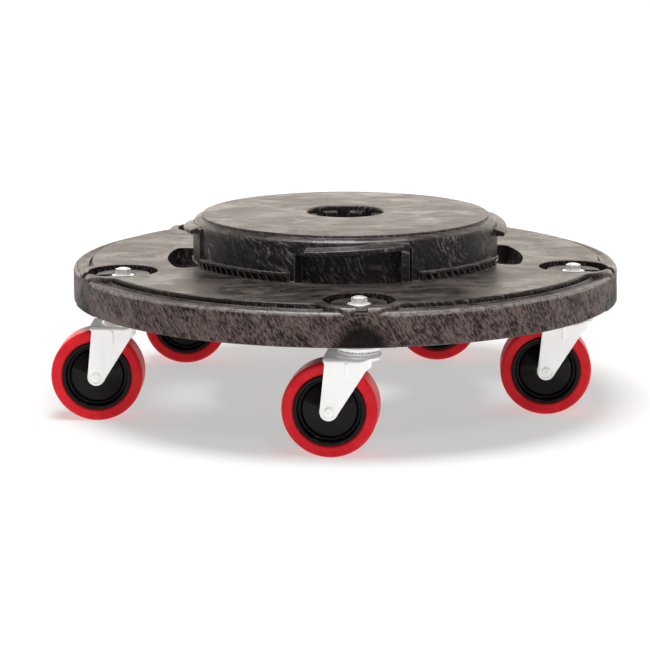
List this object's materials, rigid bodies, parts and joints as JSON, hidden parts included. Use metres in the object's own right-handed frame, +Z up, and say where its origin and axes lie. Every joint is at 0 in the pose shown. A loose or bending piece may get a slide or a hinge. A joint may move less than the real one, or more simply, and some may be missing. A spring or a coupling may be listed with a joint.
{
  "type": "round container dolly",
  "caption": "Round black dolly that twists onto the base of a waste container, with a raised locking hub, zinc swivel casters and red wheels.",
  "frame": {"origin": "on the hub axis at floor level, under the middle of the deck", "axes": "+Z up along the hub axis; -Y is the front, over the front caster; +X to the right seen from the front; at rest every caster trails within ten degrees of -X"},
  "size_m": [0.4804, 0.4641, 0.1634],
  "materials": {
    "deck_black": "fine mottled moulded texture, semi-matte",
    "zinc": "bright zinc plate",
    "bearing_steel": "ground",
    "white_nylon": "satin",
    "wheel_black": "glossy moulded",
    "tread_red": "smooth, satin"
  },
  "bodies": {
    "deck": {"deck": "deck_black", "caster_bolts": "zinc", "caster_washers": "zinc", "caster_nuts": "zinc", "upper_cups": "zinc"},
    "front_caster": {"front_fork": "zinc", "front_swivel_balls": "bearing_steel", "front_thrust_washer": "white_nylon", "front_axle_bolt": "zinc", "front_axle_nut": "zinc", "front_axle_sleeve": "bearing_steel"},
    "front_wheel": {"front_wheel_bushing": "white_nylon", "front_wheel_core": "wheel_black", "front_tread": "tread_red"},
    "right_caster": {"right_fork": "zinc", "right_swivel_balls": "bearing_steel", "right_thrust_washer": "white_nylon", "right_axle_bolt": "zinc", "right_axle_nut": "zinc", "right_axle_sleeve": "bearing_steel"},
    "right_wheel": {"right_wheel_bushing": "white_nylon", "right_wheel_core": "wheel_black", "right_tread": "tread_red"},
    "rear_right_caster": {"rear_right_fork": "zinc", "rear_right_swivel_balls": "bearing_steel", "rear_right_thrust_washer": "white_nylon", "rear_right_axle_bolt": "zinc", "rear_right_axle_nut": "zinc", "rear_right_axle_sleeve": "bearing_steel"},
    "rear_right_wheel": {"rear_right_wheel_bushing": "white_nylon", "rear_right_wheel_core": "wheel_black", "rear_right_tread": "tread_red"},
    "rear_left_caster": {"rear_left_fork": "zinc", "rear_left_swivel_balls": "bearing_steel", "rear_left_thrust_washer": "white_nylon", "rear_left_axle_bolt": "zinc", "rear_left_axle_nut": "zinc", "rear_left_axle_sleeve": "bearing_steel"},
    "rear_left_wheel": {"rear_left_wheel_bushing": "white_nylon", "rear_left_wheel_core": "wheel_black", "rear_left_tread": "tread_red"},
    "left_caster": {"left_fork": "zinc", "left_swivel_balls": "bearing_steel", "left_thrust_washer": "white_nylon", "left_axle_bolt": "zinc", "left_axle_nut": "zinc", "left_axle_sleeve": "bearing_steel"},
    "left_wheel": {"left_wheel_bushing": "white_nylon", "left_wheel_core": "wheel_black", "left_tread": "tread_red"}
  },
  "joints": [
    {"name": "front_swivel", "type": "hinge", "parent": "deck", "child": "front_caster", "pos_m": [0, -0.1975, 0.08], "axis": [0, 0, 1], "continuous": true},
    {"name": "front_roll", "type": "hinge", "parent": "front_caster", "child": "front_wheel", "pos_m": [-0.0217, -0.19391, 0.0381], "axis": [0.1633, 0.9866, 0], "continuous": true},
    {"name": "right_swivel", "type": "hinge", "parent": "deck", "child": "right_caster", "pos_m": [0.18783, -0.06103, 0.08], "axis": [0, 0, 1], "continuous": true},
    {"name": "right_roll", "type": "hinge", "parent": "right_caster", "child": "right_wheel", "pos_m": [0.16595, -0.05877, 0.0381], "axis": [0.1028, 0.9947, 0], "continuous": true},
    {"name": "rear_right_swivel", "type": "hinge", "parent": "deck", "child": "rear_right_caster", "pos_m": [0.11609, 0.15978, 0.08], "axis": [0, 0, 1], "continuous": true},
    {"name": "rear_right_roll", "type": "hinge", "parent": "rear_right_caster", "child": "rear_right_wheel", "pos_m": [0.09412, 0.16097, 0.0381], "axis": [0.0541, 0.9985, 0], "continuous": true},
    {"name": "rear_left_swivel", "type": "hinge", "parent": "deck", "child": "rear_left_caster", "pos_m": [-0.11609, 0.15978, 0.08], "axis": [0, 0, 1], "continuous": true},
    {"name": "rear_left_roll", "type": "hinge", "parent": "rear_left_caster", "child": "rear_left_wheel", "pos_m": [-0.13806, 0.16097, 0.0381], "axis": [0.0541, 0.9985, 0], "continuous": true},
    {"name": "left_swivel", "type": "hinge", "parent": "deck", "child": "left_caster", "pos_m": [-0.18783, -0.06103, 0.08], "axis": [0, 0, 1], "continuous": true},
    {"name": "left_roll", "type": "hinge", "parent": "left_caster", "child": "left_wheel", "pos_m": [-0.20978, -0.0595, 0.0381], "axis": [0.0698, 0.9976, 0], "continuous": true}
  ]
}
